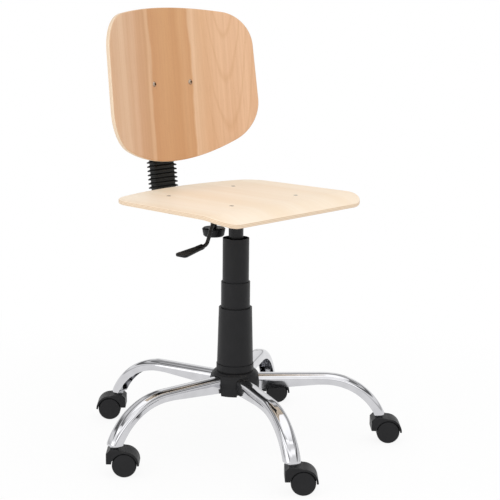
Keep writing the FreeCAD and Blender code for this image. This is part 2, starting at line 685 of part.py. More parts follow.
def make_mechanism_housing():
    """Pressed tray round the taper socket, slotted for the lever and open to the bar behind."""
    outer = box(-HOUSING_HALF_WIDTH, HOUSING_HALF_WIDTH, -HOUSING_FRONT, HOUSING_REAR,
                HOUSING_BOTTOM, PLATE_UNDER)
    outer = rounded(outer, HOUSING_CORNER, lambda e: is_upright(e) and e.CenterOfMass.y < 0)
    inner_half = HOUSING_HALF_WIDTH - HOUSING_WALL
    inner = box(-inner_half, inner_half, HOUSING_WALL - HOUSING_FRONT, HOUSING_REAR - HOUSING_WALL,
                HOUSING_BOTTOM + HOUSING_WALL, PLATE_UNDER)
    inner = rounded(inner, HOUSING_CORNER - HOUSING_WALL, lambda e: is_upright(e) and e.CenterOfMass.y < 0)
    tray = outer.cut(inner).cut(post(SOCKET_RADIUS, HOUSING_BOTTOM, HOUSING_BOTTOM + HOUSING_WALL))
    bar_half = BAR_WIDTH / 2 + BAR_CLEARANCE + SEAT_GAP
    bar_slot = box(-bar_half, bar_half, HOUSING_REAR - HOUSING_WALL, HOUSING_REAR,
                   BAR_UNDER - BAR_CLEARANCE - SEAT_GAP, BAR_UNDER + BAR_THICKNESS + BAR_CLEARANCE + SEAT_GAP)
    lever_half = LEVER_WIRE_RADIUS + LEVER_SLOT_GAP
    lever_slot = box(-HOUSING_HALF_WIDTH, -inner_half, -lever_half, lever_half,
                     LEVER_PIVOT_Z - LEVER_WIRE_RADIUS - LEVER_SLOT_DROP, PLATE_UNDER)
    return tray.cut(bar_slot).cut(lever_slot)


def make_taper_socket():
    """Turned socket that grips the tapered top of the gas cylinder."""
    top_radius = CYLINDER_RADIUS - CYLINDER_TAPER
    return turned([(CYLINDER_RADIUS, SOCKET_BOTTOM), (SOCKET_RADIUS, SOCKET_BOTTOM),
                   (SOCKET_RADIUS, SOCKET_TOP), (top_radius, SOCKET_TOP)])


def channel_inner_half():
    return HOUSING_HALF_WIDTH - CHANNEL_WALL


def make_bar_channel():
    """Folded steel channel behind the housing that carries the guide of the back bar."""
    rear = HOUSING_REAR + CHANNEL_LENGTH
    inner_half = channel_inner_half()
    outer = box(-HOUSING_HALF_WIDTH, HOUSING_HALF_WIDTH, HOUSING_REAR, rear, CHANNEL_BOTTOM, PLATE_UNDER)
    inner = box(-inner_half, inner_half, HOUSING_REAR, rear, CHANNEL_BOTTOM + CHANNEL_WALL, PLATE_UNDER)
    floor_top = CHANNEL_BOTTOM + CHANNEL_WALL
    hole = post(STUD_RADIUS + STUD_CLEARANCE, CHANNEL_BOTTOM, floor_top, 0, DEPTH_KNOB_Y)
    return outer.cut(inner).cut(hole)


def make_bar_guide():
    """Plastic guide in the channel with a close passage for the back bar."""
    inner_half = channel_inner_half()
    low = CHANNEL_BOTTOM + CHANNEL_WALL
    high = BAR_UNDER + BAR_THICKNESS + BAR_CLEARANCE + GUIDE_WALL
    front = HOUSING_REAR + GUIDE_INSET
    rear = HOUSING_REAR + CHANNEL_LENGTH - GUIDE_INSET
    block = box(-inner_half, inner_half, front, rear, low, high)
    bar_half = BAR_WIDTH / 2 + BAR_CLEARANCE
    passage = box(-bar_half, bar_half, front, rear, BAR_UNDER - BAR_CLEARANCE,
                  BAR_UNDER + BAR_THICKNESS + BAR_CLEARANCE)
    return block.cut(passage).cut(post(STUD_RADIUS + STUD_CLEARANCE, low, BAR_UNDER, 0, DEPTH_KNOB_Y))


def make_depth_knob():
    """The large knob below the channel, its stud reaching up to the bar."""
    neck_top = CHANNEL_BOTTOM - SEAT_GAP
    grip_top = neck_top - KNOB_NECK_LENGTH
    grip = fluted_knob(DEPTH_KNOB_RADIUS, DEPTH_KNOB_HEIGHT, DEPTH_KNOB_TAPER)
    grip.translate(vec(0, DEPTH_KNOB_Y, grip_top - DEPTH_KNOB_HEIGHT))
    neck = post(KNOB_NECK_RADIUS, grip_top, neck_top, 0, DEPTH_KNOB_Y)
    stud = post(STUD_RADIUS, grip_top, BAR_UNDER - SEAT_GAP, 0, DEPTH_KNOB_Y)
    return grip.fuse([neck, stud])


# Height lever

def lever_points():
    """The corners of the lever's wire in the plane y = 0, from the pivot out to its end in the paddle."""
    slope = math.radians(PADDLE_SLOPE)
    pivot = vec(LEVER_PIVOT_X, 0, LEVER_PIVOT_Z)
    knee = pivot + vec(-LEVER_RUN, 0, 0)
    ankle = knee + vec(-LEVER_FALL_REACH, 0, -LEVER_FALL)
    end = ankle + vec(-LEVER_TONGUE * math.cos(slope), 0, -LEVER_TONGUE * math.sin(slope))
    return [pivot, knee, ankle, end]


def bent_wire(points, radius, bend):
    """A round wire along straight runs joined by tangent arcs."""
    edges = []
    start = points[0]
    for before, corner, after in zip(points, points[1:], points[2:]):
        towards = (before - corner).normalize()
        away = (after - corner).normalize()
        half_turn = (math.pi - towards.getAngle(away)) / 2
        setback = bend * math.tan(half_turn)
        inward = (towards + away).normalize()
        middle = corner + inward * (bend / math.cos(half_turn) - bend)
        edges.append(line(start, corner + towards * setback))
        edges.append(arc(corner + towards * setback, middle, corner + away * setback))
        start = corner + away * setback
    edges.append(line(start, points[-1]))
    path = Part.Wire(edges)
    direction = points[1] - points[0]
    section = Part.Wire([Part.makeCircle(radius, points[0], direction)])
    return path.makePipeShell([section], True, False)


def make_lever_rod():
    """Bent wire with a cross pin at the pivot and a flat tongue over the release pin."""
    wire = bent_wire(lever_points(), LEVER_WIRE_RADIUS, LEVER_BEND)
    hub_half = EAR_GAP / 2 - SEAT_GAP
    hub = cross_post(LEVER_WIRE_RADIUS, -hub_half, hub_half, LEVER_PIVOT_X, LEVER_PIVOT_Z)
    pin_half = EAR_GAP / 2 + EAR_THICKNESS + SEAT_GAP
    pin = cross_post(TRUNNION_RADIUS, -pin_half, pin_half, LEVER_PIVOT_X, LEVER_PIVOT_Z)
    tongue = box(LEVER_PIVOT_X, LEVER_PIVOT_X + PAD_REACH, -LEVER_WIRE_RADIUS, LEVER_WIRE_RADIUS,
                 PAD_UNDER, LEVER_PIVOT_Z)
    return wire.fuse([hub, pin, tongue])


def make_lever_paddle():
    """Leaf-shaped plastic paddle with a round neck over the end of the wire."""
    ankle = lever_points()[2]
    neck_start = LEVER_BEND
    tip = neck_start + PADDLE_LENGTH
    half_thickness = PADDLE_THICKNESS / 2
    corners = [(neck_start, -PADDLE_NECK_HALF_WIDTH), (tip, -PADDLE_HALF_WIDTH),
               (tip, PADDLE_HALF_WIDTH), (neck_start, PADDLE_NECK_HALF_WIDTH)]
    outline = polygon_face([vec(x, y, -half_thickness) for x, y in corners])
    leaf = outline.extrude(vec(0, 0, PADDLE_THICKNESS))
    leaf = rounded(leaf, PADDLE_CORNER, lambda e: is_upright(e) and e.CenterOfMass.x > neck_start + 1)
    leaf = rounded(leaf, PADDLE_EDGE_ROUND, lambda e: abs(abs(e.CenterOfMass.z) - half_thickness) < 0.01)
    neck_radius = PADDLE_NECK_HALF_WIDTH - PADDLE_EDGE_ROUND
    neck_base = vec(neck_start, 0, 0)
    bore_length = LEVER_TONGUE - neck_start
    neck = Part.makeCylinder(neck_radius, bore_length + PADDLE_THICKNESS, neck_base, X_AXIS)
    bore = Part.makeCylinder(LEVER_WIRE_RADIUS, bore_length, neck_base, X_AXIS)
    paddle = leaf.fuse(neck).cut(bore)
    paddle.rotate(ORIGIN, Y_AXIS, PADDLE_SLOPE)
    paddle.rotate(ORIGIN, Z_AXIS, 180)
    paddle.translate(ankle)
    return paddle


def make_release_pin():
    """The pin in the top of the gas cylinder that the lever presses."""
    body = post(RELEASE_PIN_RADIUS, SOCKET_TOP - CYLINDER_END, RELEASE_PIN_TOP)
    return rounded(body, RELEASE_PIN_ROUND, lambda e: abs(e.CenterOfMass.z - RELEASE_PIN_TOP) < 0.01)


# Gas column and its telescopic cover

def make_gas_cylinder():
    """Hollow cylinder with a tapered top, closed below round the piston rod."""
    top_radius = CYLINDER_RADIUS - CYLINDER_TAPER
    body = turned([(0, CYLINDER_BOTTOM), (CYLINDER_RADIUS, CYLINDER_BOTTOM),
                   (CYLINDER_RADIUS, SOCKET_BOTTOM), (top_radius, SOCKET_TOP), (0, SOCKET_TOP)])
    bore = post(top_radius - CYLINDER_WALL, CYLINDER_BOTTOM + CYLINDER_END, SOCKET_TOP - CYLINDER_END)
    rod_hole = post(ROD_RADIUS + RUNNING_CLEARANCE, CYLINDER_BOTTOM, CYLINDER_BOTTOM + CYLINDER_END)
    pin_hole = post(RELEASE_PIN_RADIUS + RUNNING_CLEARANCE, SOCKET_TOP - CYLINDER_END, SOCKET_TOP)
    return body.cut(bore).cut(rod_hole).cut(pin_hole)


def make_piston_rod():
    """Rod with a shoulder on the thrust bearing and a piston in the cylinder."""
    piston_radius = CYLINDER_RADIUS - CYLINDER_TAPER - CYLINDER_WALL - RUNNING_CLEARANCE
    rod = post(ROD_RADIUS, COLUMN_BOTTOM - ROD_TAIL, PISTON_TOP)
    shoulder = post(SHOULDER_RADIUS, SHOULDER_Z, SHOULDER_Z + SHOULDER_HEIGHT)
    return rod.fuse([shoulder, post(piston_radius, PISTON_TOP - PISTON_LENGTH, PISTON_TOP)])


def make_thrust_bearing():
    return ring(ROD_RADIUS, BEARING_RADIUS, SHOULDER_Z - BEARING_HEIGHT, SHOULDER_Z)


def make_bump_stop():
    return ring(ROD_RADIUS, BUMP_RADIUS, BUMP_STOP_TOP - BUMP_HEIGHT, BUMP_STOP_TOP)


def make_retaining_clip():
    high = COLUMN_BOTTOM - SEAT_GAP
    return ring(ROD_RADIUS, CLIP_RADIUS, high - CLIP_HEIGHT, high)


def make_column_tube():
    """Steel tube with a tapered foot and a floor that the piston rod hangs through."""
    outer = turned([(0, COLUMN_BOTTOM), (COLUMN_RADIUS - COLUMN_TAPER, COLUMN_BOTTOM),
                    (COLUMN_RADIUS, HUB_TOP), (COLUMN_RADIUS, COLUMN_TOP), (0, COLUMN_TOP)])
    floor_top = COLUMN_BOTTOM + COLUMN_FLOOR
    bore = post(COLUMN_BORE_RADIUS, floor_top, COLUMN_TOP)
    return outer.cut(bore).cut(post(ROD_RADIUS + RUNNING_CLEARANCE, COLUMN_BOTTOM, floor_top))


def make_guide_bush():
    """Plastic bush in the tube with a lip over its top, round the cylinder."""
    inner = CYLINDER_RADIUS + RUNNING_CLEARANCE
    return turned([(inner, COLUMN_TOP - BUSH_LENGTH), (COLUMN_BORE_RADIUS, COLUMN_TOP - BUSH_LENGTH),
                   (COLUMN_BORE_RADIUS, COLUMN_TOP), (COLUMN_RADIUS, COLUMN_TOP),
                   (COLUMN_RADIUS, COLUMN_TOP + BUSH_LIP), (inner, COLUMN_TOP + BUSH_LIP)])


def make_cover_lower():
    """Tapered sleeve on the hub cover with a groove at its foot and a lip round the middle sleeve."""
    lip = MIDDLE_COVER_RADIUS + SEAT_GAP
    lip_under = LOWER_COVER_TOP - COVER_LIP
    groove = LOWER_COVER_BASE_RADIUS - COVER_GROOVE_DEPTH
    groove_top = HUB_COVER_TOP + COVER_GROOVE_HEIGHT
    outside = [(groove, HUB_COVER_TOP), (groove, groove_top), (LOWER_COVER_BASE_RADIUS, groove_top),
               (LOWER_COVER_TOP_RADIUS, LOWER_COVER_TOP)]
    inside = [(lip, LOWER_COVER_TOP), (lip, lip_under), (LOWER_COVER_TOP_RADIUS - COVER_LIP, lip_under),
              (LOWER_COVER_BASE_RADIUS - COVER_LIP, HUB_COVER_TOP)]
    return turned(outside + inside)


def make_cover_middle():
    """Sleeve with an outward lip at its foot and an inward lip round the upper sleeve."""
    low = MIDDLE_COVER_BOTTOM
    foot = LOWER_COVER_TOP_RADIUS - COVER_LIP - SEAT_GAP
    inner = MIDDLE_COVER_RADIUS - COVER_WALL
    lip = UPPER_COVER_RADIUS + SEAT_GAP
    return turned([(inner, low), (foot, low), (foot, low + COVER_LIP),
                   (MIDDLE_COVER_RADIUS, low + COVER_LIP),
                   (MIDDLE_COVER_RADIUS, MIDDLE_COVER_TOP), (lip, MIDDLE_COVER_TOP),
                   (lip, MIDDLE_COVER_TOP - COVER_LIP), (inner, MIDDLE_COVER_TOP - COVER_LIP)])


def make_cover_upper():
    """Sleeve that hangs from a ring gripped on the cylinder below the taper socket."""
    low = MIDDLE_COVER_TOP - UPPER_COVER_OVERLAP
    inner = UPPER_COVER_RADIUS - COVER_WALL
    ring_top = UPPER_COVER_TOP - COVER_RING_DROP
    return turned([(inner, low), (UPPER_COVER_RADIUS, low), (UPPER_COVER_RADIUS, UPPER_COVER_TOP),
                   (inner, UPPER_COVER_TOP), (inner, ring_top), (CYLINDER_RADIUS, ring_top),
                   (CYLINDER_RADIUS, ring_top - COVER_LIP), (inner, ring_top - COVER_LIP)])


# Hub, legs and hub cover

def make_hub_socket():
    """Steel socket that the legs are welded to, with a tapered bore for the column tube."""
    foot = COLUMN_RADIUS - COLUMN_TAPER * (HUB_TOP - HUB_BOTTOM) / (HUB_TOP - COLUMN_BOTTOM)
    return turned([(foot, HUB_BOTTOM), (HUB_RADIUS, HUB_BOTTOM), (HUB_RADIUS, HUB_TOP),
                   (COLUMN_RADIUS, HUB_TOP)])


def leg_bend():
    """The turn of a leg's top, which ends a short straight above the leg's end."""
    fall = LEG_TOP_AT_BEND - LEG_END_Z - LEG_TIP_STRAIGHT
    return math.acos(1 - fall / LEG_BEND_RADIUS)


def leg_bend_start():
    return LEG_END_OUTER - LEG_BEND_RADIUS * math.sin(leg_bend())


def on_leg_bend(radius, angle):
    """A point at a radius about the centre of a leg's bend, by the turn from straight up."""
    centre_z = LEG_TOP_AT_BEND - LEG_BEND_RADIUS
    return vec(leg_bend_start() + radius * math.sin(angle), 0, centre_z + radius * math.cos(angle))


def leg_under_bend():
    """The turn of a leg's underside, down to the leg's end."""
    centre_z = LEG_TOP_AT_BEND - LEG_BEND_RADIUS
    return math.acos((LEG_END_Z - centre_z) / (LEG_BEND_RADIUS - LEG_TUBE_HEIGHT))


def leg_profile(inset, drop):
    """Side view of a leg along X: its top lowered by inset and its underside lowered by drop."""
    bend = leg_bend()
    under = leg_under_bend()
    upper = LEG_BEND_RADIUS - inset
    lower = LEG_BEND_RADIUS - LEG_TUBE_HEIGHT - drop
    low_z = LEG_END_Z - drop
    top_start, top_middle, top_end = [on_leg_bend(upper, bend * share) for share in (0, 0.5, 1)]
    under_start, under_middle, under_end = [on_leg_bend(lower, under * share) for share in (0, 0.5, 1)]
    root_top = vec(0, 0, LEG_TOP_AT_HUB - inset)
    root_low = vec(0, 0, LEG_SKIRT_BOTTOM - drop)
    tip_top = vec(top_end.x, 0, low_z)
    tip_low = vec(under_end.x, 0, low_z)
    edges = [line(root_top, top_start), arc(top_start, top_middle, top_end), line(top_end, tip_top)]
    edges.append(line(tip_top, tip_low))
    if under_end.z - low_z > 0.001:
        edges.append(line(tip_low, under_end))
    edges.extend([arc(under_end, under_middle, under_start), line(under_start, root_low)])
    edges.append(line(root_low, root_top))
    return face_of(edges)


def leg_solid(inset, drop):
    """A leg's rounded outer form, or with an inset the space inside its wall."""
    half = LEG_WIDTH / 2 - inset
    solid = leg_profile(inset, drop).extrude(vec(0, 2 * half, 0))
    solid.translate(vec(0, -half, 0))

    def on_crown(edge):
        middle = edge.valueAt((edge.FirstParameter + edge.LastParameter) / 2)
        on_side = abs(abs(middle.y) - half) < 0.01 and middle.x > 0.01
        return on_side and crown_distance(middle, inset) < 0.1

    return rounded(solid, LEG_ROUND - inset, on_crown)


def crown_distance(point, inset):
    """How far a point lies from the upper outline of a leg's side view."""
    bend_x = leg_bend_start()
    if point.x < bend_x:
        slope = (LEG_TOP_AT_BEND - LEG_TOP_AT_HUB) / bend_x
        return abs(point.z - (LEG_TOP_AT_HUB - inset + slope * point.x))
    upper = LEG_BEND_RADIUS - inset
    from_arc = abs(math.hypot(point.x - bend_x, point.z - LEG_TOP_AT_BEND + LEG_BEND_RADIUS) - upper)
    return min(from_arc, abs(point.x - on_leg_bend(upper, leg_bend()).x))


def skirt_strips(shift):
    """The two strips beside a leg's skirt, below its tube, moved outwards and down by shift."""
    bend_x = leg_bend_start()
    low = LEG_SKIRT_BOTTOM - CUT
    tube_at_hub = vec(0, 0, LEG_TOP_AT_HUB - LEG_TUBE_HEIGHT)
    tube_at_bend = vec(bend_x, 0, LEG_TOP_AT_BEND - LEG_TUBE_HEIGHT)
    side = polygon_face([tube_at_hub, tube_at_bend, vec(bend_x, 0, low), vec(0, 0, low)])
    prism = side.extrude(vec(0, CUT, 0))
    near = LEG_WIDTH / 2 - LEG_SKIRT_INSET + shift
    return [prism.translated(vec(0, near, -shift)), prism.translated(vec(0, -CUT - near, -shift))]


def leg_cavity():
    """The space inside a leg, open underneath, stepped in along the skirt."""
    return leg_solid(LEG_WALL, SHELL_OVERCUT).cut(skirt_strips(-LEG_WALL))


def make_leg(angle):
    shell = leg_solid(0, 0).cut(skirt_strips(0)).cut(leg_cavity())
    shell = shell.cut(post(HUB_RADIUS, 0, 2 * LEG_TOP_AT_HUB))
    return turn_about_z(shell, angle)


def make_caster_sockets():
    """In the end of each leg, a plate that closes it and a sleeve for the castor's stem."""
    inner = on_leg_bend(LEG_BEND_RADIUS - LEG_TUBE_HEIGHT, leg_under_bend()).x
    plate = box(inner, LEG_END_OUTER, -LEG_WIDTH, LEG_WIDTH, LEG_END_Z, LEG_END_Z + SOCKET_PLATE)
    sleeve = post(SOCKET_SLEEVE_RADIUS, LEG_END_Z, LEG_END_Z + SOCKET_SLEEVE_HEIGHT, STEM_CIRCLE)
    socket = plate.fuse(sleeve).common(leg_cavity())
    bore = post(STEM_RADIUS + RUNNING_CLEARANCE, LEG_END_Z, LEG_END_Z + SOCKET_SLEEVE_HEIGHT, STEM_CIRCLE)
    socket = socket.cut(bore)
    return Part.makeCompound([turn_about_z(socket, angle) for angle in LEG_ANGLES])


def make_hub_cover():
    """Moulded cover over the hub: skirt, dome, groove, neck and top, slotted from below for the legs."""
    inner_top = HUB_COVER_TOP - HUB_COVER_WALL
    profile = [(HUB_COVER_SKIRT_RADIUS, HUB_COVER_SKIRT_Z), (HUB_COVER_RADIUS, HUB_COVER_WIDEST_Z)]
    for step in range(1, 6):
        lean = math.radians(90 * step / 5)
        radius = HUB_COVER_NECK_RADIUS + (HUB_COVER_RADIUS - HUB_COVER_NECK_RADIUS) * math.cos(lean)
        height = HUB_COVER_WIDEST_Z + (HUB_COVER_NECK_Z - HUB_COVER_WIDEST_Z) * math.sin(lean)
        profile.append((radius, height))
    inside = []
    for radius, height in profile[:-1]:
        drop = HUB_COVER_WALL if height > HUB_COVER_WIDEST_Z else 0.0
        inside.append((radius - HUB_COVER_WALL, height - drop))
    neck_inner = HUB_COVER_TOP_RADIUS - HUB_COVER_WALL
    hole = COLUMN_RADIUS + BAR_CLEARANCE
    groove = HUB_COVER_TOP_RADIUS - COVER_GROOVE_DEPTH
    groove_top = HUB_COVER_NECK_Z + COVER_GROOVE_HEIGHT
    outside = profile + [(groove, HUB_COVER_NECK_Z), (groove, groove_top), (HUB_COVER_TOP_RADIUS, groove_top),
                         (HUB_COVER_TOP_RADIUS, HUB_COVER_TOP)]
    inside.extend([(neck_inner, HUB_COVER_NECK_Z - HUB_COVER_WALL), (neck_inner, inner_top)])
    shell = turned(outside + [(hole, HUB_COVER_TOP), (hole, inner_top)] + inside[::-1])
    slot = leg_solid(-HUB_COVER_LEG_GAP, LEG_TUBE_HEIGHT).cut(skirt_strips(HUB_COVER_LEG_GAP))
    return shell.cut([turn_about_z(slot, angle) for angle in LEG_ANGLES])


# Castors, made with the stem on the Z axis and the wheels trailing along +X

def place_castor(shape, number):
    placed = turn_about_z(shape, CASTOR_HEADINGS[number])
    placed.translate(around_column(LEG_ANGLES[number], STEM_CIRCLE))
    return placed


def make_castor_housing():
    """Hood over both wheels with a web between them that holds the axle."""
    hood_radius = WHEEL_RADIUS + WHEEL_TREAD_GAP + HOOD_THICKNESS
    crown_z = WHEEL_RADIUS + hood_radius
    slant = math.sqrt(0.5) * hood_radius
    tip = WHEEL_TRAIL + hood_radius
    front_low = vec(-HOOD_FRONT, 0, HOOD_LOW)
    front_high = vec(-HOOD_FRONT, 0, HOOD_TOP - HOOD_SHOULDER)
    top_front = vec(HOOD_SHOULDER - HOOD_FRONT, 0, HOOD_TOP)
    edges = [line(front_low, front_high), line(front_high, top_front)]
    edges.append(line(top_front, vec(HOOD_SHOULDER, 0, HOOD_TOP)))
    edges.append(line(vec(HOOD_SHOULDER, 0, HOOD_TOP), vec(WHEEL_TRAIL, 0, crown_z)))
    edges.append(arc(vec(WHEEL_TRAIL, 0, crown_z), vec(WHEEL_TRAIL + slant, 0, WHEEL_RADIUS + slant),
                     vec(tip, 0, WHEEL_RADIUS)))
    edges.append(line(vec(tip, 0, WHEEL_RADIUS), vec(WHEEL_TRAIL, 0, WHEEL_RADIUS)))
    edges.append(line(vec(WHEEL_TRAIL, 0, WHEEL_RADIUS), vec(WHEEL_TRAIL, 0, HOOD_LOW)))
    edges.append(line(vec(WHEEL_TRAIL, 0, HOOD_LOW), front_low))
    hood = face_of(edges).extrude(vec(0, 2 * HOOD_HALF_WIDTH, 0))
    hood.translate(vec(0, -HOOD_HALF_WIDTH, 0))
    hood = rounded(hood, HOOD_ROUND, lambda e: abs(abs(e.CenterOfMass.y) - HOOD_HALF_WIDTH) < 0.01
                   and e.CenterOfMass.z > HOOD_LOW)
    for side in (-1, 1):
        near = side * WEB_HALF_WIDTH
        far = side * 2 * HOOD_HALF_WIDTH
        hood = hood.cut(cross_post(WHEEL_RADIUS + WHEEL_TREAD_GAP, min(near, far), max(near, far),
                                   WHEEL_TRAIL, WHEEL_RADIUS))
    boss = cross_post(WEB_BOSS_RADIUS, -WEB_HALF_WIDTH, WEB_HALF_WIDTH, WHEEL_TRAIL, WHEEL_RADIUS)
    axle_hole = cross_post(AXLE_RADIUS, -WEB_HALF_WIDTH, WEB_HALF_WIDTH, WHEEL_TRAIL, WHEEL_RADIUS)
    return hood.fuse(boss).cut(axle_hole)


def make_castor_stem():
    """Steel stem with a collar that carries the leg's end."""
    collar = post(STEM_COLLAR_RADIUS, HOOD_TOP, LEG_END_Z - SEAT_GAP)
    return collar.fuse(post(STEM_RADIUS, HOOD_TOP, LEG_END_Z + SOCKET_SLEEVE_HEIGHT - STEM_END_GAP))


def make_castor_axle():
    half = WHEEL_OUTER - AXLE_SEAT - SEAT_GAP
    return cross_post(AXLE_RADIUS, -half, half, WHEEL_TRAIL, WHEEL_RADIUS)


def make_castor_wheel(side):
    """Wheel with a plain face, a round edge and a blind bore for the axle, on one side of the web."""
    bore = AXLE_RADIUS + RUNNING_CLEARANCE
    disc = post(WHEEL_RADIUS, WHEEL_INNER, WHEEL_OUTER)
    disc = rounded(disc, WHEEL_EDGE_ROUND, lambda e: abs(e.CenterOfMass.z - WHEEL_OUTER) < 0.01)
    disc = rounded(disc, WHEEL_INNER_ROUND, lambda e: abs(e.CenterOfMass.z - WHEEL_INNER) < 0.01)
    wheel = disc.cut(post(bore, WHEEL_INNER, WHEEL_OUTER - AXLE_SEAT))
    wheel.rotate(ORIGIN, X_AXIS, -90 * side)
    wheel.translate(vec(WHEEL_TRAIL, 0, WHEEL_RADIUS))
    return wheel


def castor_nodes():
    pieces = {"housing": make_castor_housing(), "stem": make_castor_stem(), "axle": make_castor_axle(),
              "wheel_left": make_castor_wheel(1), "wheel_right": make_castor_wheel(-1)}
    nodes = {}
    for number in range(len(LEG_ANGLES)):
        for name, shape in pieces.items():
            nodes["caster_%d_%s" % (number + 1, name)] = place_castor(shape, number)
    return nodes


def chair_nodes():
    """Every piece of the chair by name."""
    nodes = {
        "hub_socket": make_hub_socket(), "caster_sockets": make_caster_sockets(),
        "hub_cover": make_hub_cover(), "column_tube": make_column_tube(), "guide_bush": make_guide_bush(),
        "cover_lower": make_cover_lower(), "cover_middle": make_cover_middle(),
        "cover_upper": make_cover_upper(), "piston_rod": make_piston_rod(),
        "thrust_bearing": make_thrust_bearing(), "bump_stop": make_bump_stop(),
        "retaining_clip": make_retaining_clip(), "gas_cylinder": make_gas_cylinder(),
        "release_pin": make_release_pin(), "taper_socket": make_taper_socket(),
        "mechanism_housing": make_mechanism_housing(), "mechanism_plate": make_mechanism_plate(),
        "bar_channel": make_bar_channel(), "bar_guide": make_bar_guide(), "depth_knob": make_depth_knob(),
        "lever_rod": make_lever_rod(), "lever_paddle": make_lever_paddle(), "seat_board": make_seat_board(),
        "seat_bolts": make_seat_bolts(), "back_bar": make_back_bar(), "bellows": make_bellows(),
        "back_bracket": make_back_bracket(), "height_knob": make_height_knob(),
        "backrest_board": make_backrest_board(), "back_bolts": make_back_bolts(),
    }
    for number, angle in enumerate(LEG_ANGLES):
        nodes["leg_%d" % (number + 1)] = make_leg(angle)
    nodes.update(castor_nodes())
    return nodes


os.makedirs("parts", exist_ok=True)
for node_name, node_shape in chair_nodes().items():
    node_shape.exportStep("parts/%s.step" % node_name)
    solids = len(node_shape.Solids)
    valid = node_shape.isValid()
    print("%-22s valid %s solids %d volume %.0f" % (node_name, valid, solids, node_shape.Volume))
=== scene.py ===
import json
import math

import bmesh
import bpy
from mathutils import Matrix, Vector


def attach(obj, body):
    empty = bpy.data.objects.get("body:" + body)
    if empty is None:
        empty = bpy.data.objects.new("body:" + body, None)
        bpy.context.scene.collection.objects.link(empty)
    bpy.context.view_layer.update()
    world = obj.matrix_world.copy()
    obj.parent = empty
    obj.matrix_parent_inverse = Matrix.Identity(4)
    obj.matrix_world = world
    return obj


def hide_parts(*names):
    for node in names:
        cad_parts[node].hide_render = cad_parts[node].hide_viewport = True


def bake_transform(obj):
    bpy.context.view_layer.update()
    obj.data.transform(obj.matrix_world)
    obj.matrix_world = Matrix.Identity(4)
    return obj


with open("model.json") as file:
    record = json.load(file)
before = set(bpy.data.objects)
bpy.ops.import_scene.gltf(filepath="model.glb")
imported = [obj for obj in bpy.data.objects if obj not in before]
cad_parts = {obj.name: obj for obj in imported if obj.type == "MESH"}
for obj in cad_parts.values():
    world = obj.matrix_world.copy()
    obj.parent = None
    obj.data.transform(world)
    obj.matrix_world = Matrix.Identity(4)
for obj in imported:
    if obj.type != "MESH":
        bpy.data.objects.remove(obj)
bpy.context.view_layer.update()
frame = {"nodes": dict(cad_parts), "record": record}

# Lengths are in metres, in the model's frame: x across the chair, y backwards and z up

# Places and sizes taken over from the model
BACK_TILT = math.radians(6.4)
BACK_ORIGIN = Vector((0, 0.193, 0.767))
BACK_CURVE = 0.485
BACK_WIDTH = 0.436
BACK_THICKNESS = 0.010
BACK_BOLT_X = 0.0544
BAR_STAND_OFF = 0.0512
BRACKET_BACK = 0.016
SEAT_TOP = 0.542
SEAT_THICKNESS = 0.009
SEAT_ROLL_START = -0.116
SEAT_ROLL_RADIUS = 0.126
SEAT_BOLT_X = 0.0994
SEAT_BOLT_Y = (-0.079, 0.101)
PLATE_UNDER = 0.012

# Bolts
BOLT_STEPS = 48
BOLT_RADIUS = 0.003
BOLT_SHARP_FROM = 35
BACK_HEAD_RADIUS = 0.0058
BACK_HEAD_HEIGHT = 0.0032
BACK_HEAD_RINGS = 6
BACK_SOCKET = 0.0025
BACK_SOCKET_FLOOR = 0.0008
BACK_SOCKET_RIM = 1.2 * BACK_SOCKET
SEAT_HEAD_RADIUS = 0.0050
SEAT_HEAD_DEPTH = 0.0025
SEAT_HEAD_SINK = 0.0001
SEAT_HEAD_CHAMFER = 0.0006
SEAT_SOCKET = 0.0017
SEAT_SOCKET_MOUTH = 0.0002
SEAT_SOCKET_FLOOR = 0.0021
SEAT_SOCKET_RIM = 1.35 * SEAT_SOCKET
NUT_THICKNESS = 0.005
NUT_APOTHEM = 0.00475
NUT_FACE = 0.0044
NUT_CHAMFER = 0.0006

# Bellows, with heights in the backrest's own frame
BELLOWS_LOW = -0.234
BELLOWS_HIGH = -0.0563
BELLOWS_COLLAR = 0.006
BELLOWS_CHAMFER = 0.0006
BELLOWS_LINING = 0.0085
BELLOWS_HALF_WIDTH = 0.0358
BELLOWS_HALF_DEPTH = 0.015
BELLOWS_CORNER = 0.009
CORNER_SHRINK = 0.6
CORNER_STEPS = 8
BELLOWS_FOLD = 0.0049
BELLOWS_FOLDS = 18
RINGS_PER_FOLD = 16
# Shares of a fold's height, from the middle of a fin, at which its tip ends and the valley begins
FIN_TIP = 0.12
FIN_ROOT = 0.30
FIN_DROOP = 0.0011

# Marks in the veneers: waves per metre across, through and along the grain, and the noise's settings
STREAKS = {"scale": (150, 1, 2.2), "detail": 4.0, "roughness": 0.6, "distortion": 0.3}
PORES = {"scale": (1100, 1, 26), "detail": 2.0, "roughness": 0.6}
FLECKS = {"scale": (900, 1, 170), "detail": 1.0}
BACK_WANDER = {"scale": (9, 1, 5), "detail": 3.0}
BACK_BANDS = {"scale": (34, 1, 1.1), "detail": 2.0, "distortion": 0.4}
SEAT_BANDS = {"scale": (15, 1, 0.55), "detail": 2.0, "roughness": 0.45}
SEAT_GRAIN_SHIFT = (0.37, 0.2, 0.11)
GRAIN_BUMP = 0.00004

# Plies seen on the boards' edges, below a face veneer that ends between two depths
PLIES = 7
PLY_LIGHT = (240, 219, 192)
PLY_DARK = (219, 191, 161)
VENEER_END = (0.0006, 0.0009)

